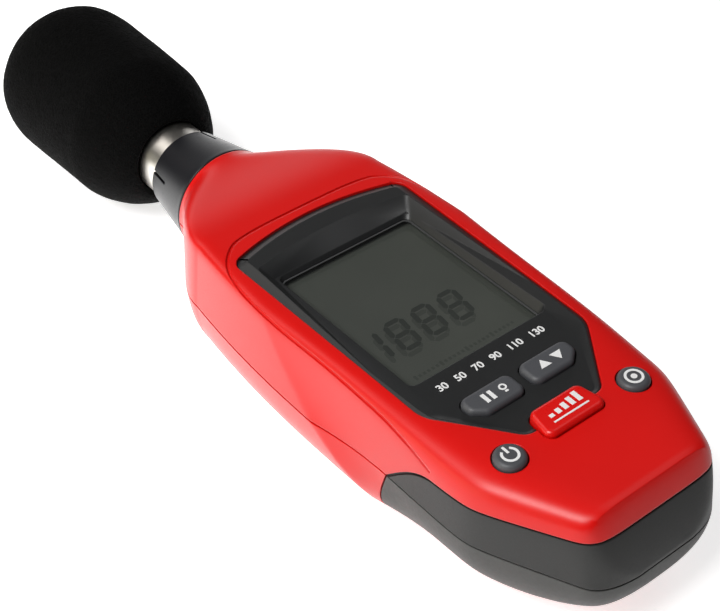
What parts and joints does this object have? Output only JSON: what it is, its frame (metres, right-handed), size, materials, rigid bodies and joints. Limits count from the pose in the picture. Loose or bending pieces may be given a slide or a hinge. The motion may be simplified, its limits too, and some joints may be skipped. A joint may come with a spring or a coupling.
{
  "type": "sound level meter",
  "caption": "Hand-held sound level meter: waisted two-shell case with display, press keys, foam-covered microphone on a tapered collar, battery door and tripod socket.",
  "frame": {"origin": "centre of the tripod socket's mouth in the flat back", "axes": "+X across the case, +Y along it towards the microphone, +Z out of the display"},
  "size_m": [0.0552, 0.2114, 0.0388],
  "materials": {
    "shell": "semi-gloss moulded red",
    "red_key": "semi-gloss moulded red",
    "grip": "matt soft-touch",
    "bezel": "satin black",
    "window": "clear",
    "lcd": "grey-green panel",
    "diffuser": "milky",
    "zebra": "silicone",
    "board": "solder mask",
    "chip": "moulded",
    "shield": "tinned",
    "switch": "moulded",
    "grey_key": "matt silicone",
    "round_key": "matt silicone",
    "collar": "satin black",
    "nickel": "bright nickel",
    "capsule": "satin",
    "lead": "insulated wire",
    "foam": "open-cell foam",
    "screw": "zinc",
    "cell": "plain sleeve",
    "contact": "nickel plated",
    "brass": "machined"
  },
  "bodies": {
    "housing": {"front_shell": "shell", "rear_shell": "shell", "front_grip": "grip", "rear_grip": "grip", "display_bezel": "bezel", "display_window": "window", "lcd_panel": "lcd", "lcd_backlight": "diffuser", "lcd_connectors": "zebra", "main_board": "board", "board_components": "chip", "radio_module": "shield", "key_switches": "switch", "mic_collar": "collar", "mic_sleeve": "nickel", "mic_capsule": "capsule", "mic_grid": "nickel", "mic_board": "board", "mic_leads": "lead", "battery_cells": "cell", "battery_springs": "contact", "battery_plates": "contact", "case_screws": "screw", "board_screws": "screw", "tripod_insert": "brass"},
    "hold_button": {"hold_button": "grey_key"},
    "max_min_button": {"max_min_button": "grey_key"},
    "range_button": {"range_button": "red_key"},
    "power_button": {"power_button": "round_key"},
    "link_button": {"link_button": "round_key"},
    "windscreen": {"windscreen": "foam"},
    "battery_door": {"battery_door": "shell", "door_screw": "screw"}
  },
  "joints": [
    {"name": "hold_press", "type": "slide", "parent": "housing", "child": "hold_button", "axis": [0, 0, -1], "range_m": [0, 0.0008], "stiffness_N_per_m": 700, "springref_m": -0.0006},
    {"name": "max_min_press", "type": "slide", "parent": "housing", "child": "max_min_button", "axis": [0, 0, -1], "range_m": [0, 0.0008], "stiffness_N_per_m": 700, "springref_m": -0.0006},
    {"name": "range_press", "type": "slide", "parent": "housing", "child": "range_button", "axis": [0, 0, -1], "range_m": [0, 0.0008], "stiffness_N_per_m": 700, "springref_m": -0.0006},
    {"name": "power_press", "type": "slide", "parent": "housing", "child": "power_button", "axis": [0, 0, -1], "range_m": [0, 0.0008], "stiffness_N_per_m": 700, "springref_m": -0.0006},
    {"name": "link_press", "type": "slide", "parent": "housing", "child": "link_button", "axis": [0, 0, -1], "range_m": [0, 0.0008], "stiffness_N_per_m": 700, "springref_m": -0.0006},
    {"name": "windscreen_pull", "type": "slide", "parent": "housing", "child": "windscreen", "axis": [0, 1, 0], "range_m": [0, 0.04]},
    {"name": "battery_door_lift", "type": "slide", "parent": "housing", "child": "battery_door", "axis": [0, 0, -1], "range_m": [0, 0.03]}
  ]
}
